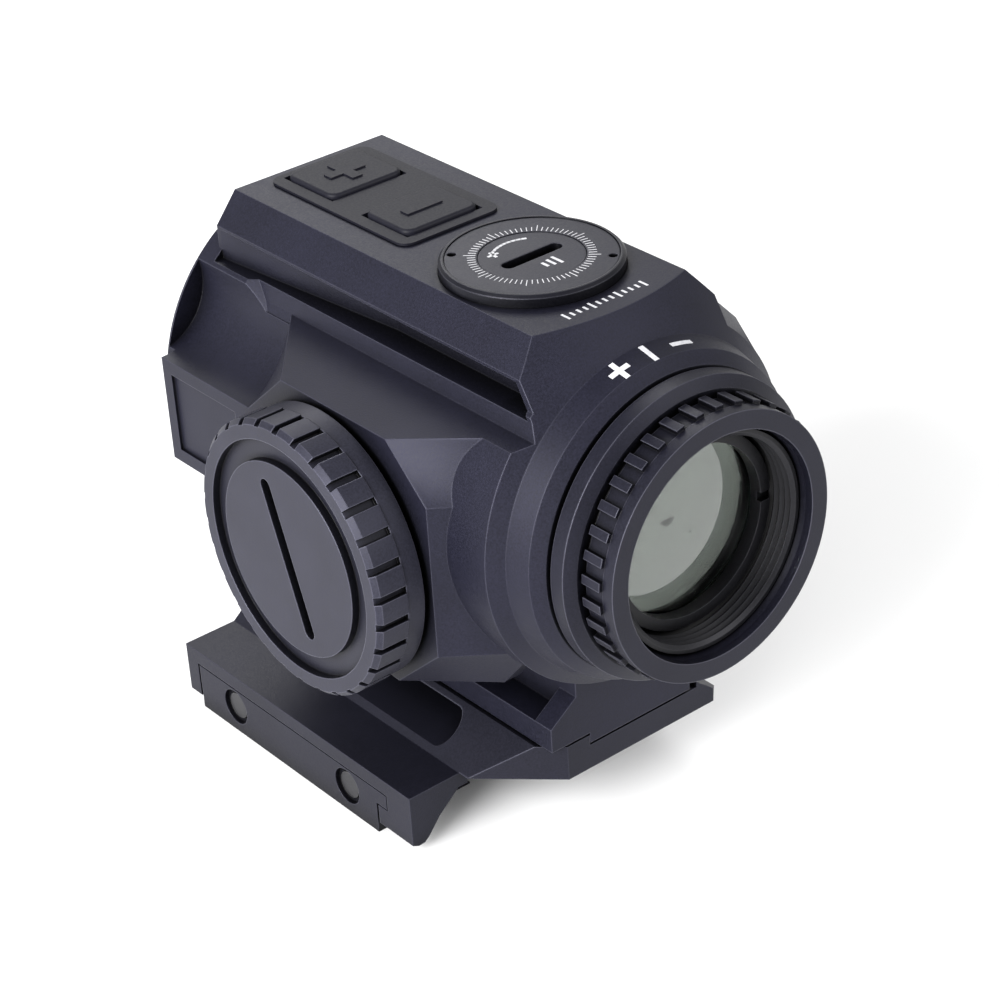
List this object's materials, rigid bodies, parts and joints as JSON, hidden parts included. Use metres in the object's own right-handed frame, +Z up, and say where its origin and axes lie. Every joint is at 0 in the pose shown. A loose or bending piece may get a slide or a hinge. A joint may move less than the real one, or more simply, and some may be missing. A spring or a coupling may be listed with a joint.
{
  "type": "compact prism sight",
  "caption": "Compact 1x prism sight with diopter eyepiece, coin-slot adjusters, coin-cell cap, key pad and a riser that clamps on a slotted rail.",
  "frame": {"origin": "middle of the riser's seat on the rail, under the optical axis", "axes": "+Y the way the user looks, +X the user's right, +Z up from the rail"},
  "size_m": [0.0493, 0.0645, 0.0597],
  "materials": {
    "anodised": "fine matte dark blue-grey anodised",
    "mount_anodised": "fine matte dark anodised",
    "blackened": "matte black anodised",
    "screw_steel": "black oxide steel",
    "key_rubber": "matte silicone rubber",
    "seal_rubber": "smooth nitrile rubber",
    "coated_glass": "green-grey coated glass",
    "clear_glass": "clear optical glass",
    "neck_aluminium": "dark anodised thread",
    "contact_metal": "gold-plated contact",
    "cell_steel": "nickel-plated cell",
    "board": "green circuit board"
  },
  "bodies": {
    "sight": {"housing": "anodised", "riser": "mount_anodised", "keypad_pad": "key_rubber", "key_board": "board", "plus_dome": "contact_metal", "minus_dome": "contact_metal", "objective_cell": "blackened", "objective_lens": "coated_glass", "objective_retainer": "blackened", "front_prism": "clear_glass", "rear_prism": "clear_glass", "prism_holder": "blackened", "prism_clamp_plate": "screw_steel", "prism_screw_1": "screw_steel", "prism_screw_2": "screw_steel", "prism_screw_3": "screw_steel", "prism_screw_4": "screw_steel", "reticle_carrier": "blackened", "reticle_disc": "clear_glass", "led_block": "board", "elevation_bezel": "anodised", "elevation_dial": "anodised", "windage_bezel": "anodised", "windage_dial": "anodised", "battery_neck": "neck_aluminium", "contact_plate": "contact_metal", "contact_spring": "contact_metal", "coin_cell": "cell_steel", "front_foot_screw": "screw_steel", "back_foot_screw": "screw_steel"},
    "diopter": {"diopter_ring": "anodised", "eyepiece_o_ring": "seal_rubber"},
    "ocular": {"ocular_cell": "blackened", "ocular_front_lens": "coated_glass", "ocular_rear_lens": "clear_glass", "ocular_retainer": "blackened"},
    "cap_seal": {"cap_o_ring": "seal_rubber"},
    "cap": {"battery_cap": "anodised"},
    "elevation_knob": {"elevation_rotor": "anodised", "elevation_o_ring": "seal_rubber"},
    "elevation_pin": {"elevation_plunger": "screw_steel"},
    "windage_knob": {"windage_rotor": "anodised", "windage_o_ring": "seal_rubber"},
    "windage_pin": {"windage_plunger": "screw_steel"},
    "plus_button": {"plus_key": "key_rubber"},
    "minus_button": {"minus_key": "key_rubber"},
    "front_screw": {"front_clamp_screw": "screw_steel"},
    "rear_screw": {"rear_clamp_screw": "screw_steel"},
    "jaw": {"clamp_jaw": "mount_anodised"}
  },
  "joints": [
    {"name": "diopter_turn", "type": "hinge", "parent": "sight", "child": "diopter", "pos_m": [0, -0.04, 0.0334], "axis": [0, 1, 0], "range_deg": [-150, 150]},
    {"name": "ocular_travel", "type": "slide", "parent": "sight", "child": "ocular", "axis": [0, 1, 0], "range_m": [-0.001, 0.001]},
    {"name": "cap_travel", "type": "slide", "parent": "sight", "child": "cap_seal", "axis": [-1, 0, 0], "range_m": [0, 0.003]},
    {"name": "cap_turn", "type": "hinge", "parent": "cap_seal", "child": "cap", "pos_m": [-0.024, -0.01085, 0.0292], "axis": [-1, 0, 0], "range_deg": [0, 1080]},
    {"name": "elevation_travel", "type": "slide", "parent": "sight", "child": "elevation_pin", "axis": [0, 0, 1], "range_m": [-0.00025, 0.00025]},
    {"name": "elevation_turn", "type": "hinge", "parent": "sight", "child": "elevation_knob", "pos_m": [0, -0.01815, 0.05], "axis": [0, 0, 1], "range_deg": [-180, 180]},
    {"name": "windage_travel", "type": "slide", "parent": "sight", "child": "windage_pin", "axis": [1, 0, 0], "range_m": [-0.00025, 0.00025]},
    {"name": "windage_turn", "type": "hinge", "parent": "sight", "child": "windage_knob", "pos_m": [0.02, -0.01635, 0.0324], "axis": [1, 0, 0], "range_deg": [-180, 180]},
    {"name": "plus_press", "type": "slide", "parent": "sight", "child": "plus_button", "axis": [0, 0, -1], "range_m": [0, 0.0004], "stiffness_N_per_m": 4000},
    {"name": "minus_press", "type": "slide", "parent": "sight", "child": "minus_button", "axis": [0, 0, -1], "range_m": [0, 0.0004], "stiffness_N_per_m": 4000},
    {"name": "jaw_travel", "type": "slide", "parent": "sight", "child": "jaw", "axis": [-1, 0, 0], "range_m": [0, 0.0024]},
    {"name": "front_clamp_turn", "type": "hinge", "parent": "sight", "child": "front_screw", "pos_m": [0, -0.00901, -0.0015], "axis": [1, 0, 0], "range_deg": [0, 1080]},
    {"name": "rear_clamp_turn", "type": "hinge", "parent": "sight", "child": "rear_screw", "pos_m": [0, 0.01101, -0.0015], "axis": [1, 0, 0], "range_deg": [0, 1080]}
  ],
  "couplings": [
    {"joint": "diopter_turn", "follows": "ocular_travel", "rad_per_m": 2617.9},
    {"joint": "cap_turn", "follows": "cap_travel", "rad_per_m": 6283.1},
    {"joint": "elevation_turn", "follows": "elevation_travel", "rad_per_m": 12566},
    {"joint": "windage_turn", "follows": "windage_travel", "rad_per_m": 12566},
    {"joint": "front_clamp_turn", "follows": "jaw_travel", "rad_per_m": 7853.9},
    {"joint": "rear_clamp_turn", "follows": "jaw_travel", "rad_per_m": 7853.9}
  ]
}
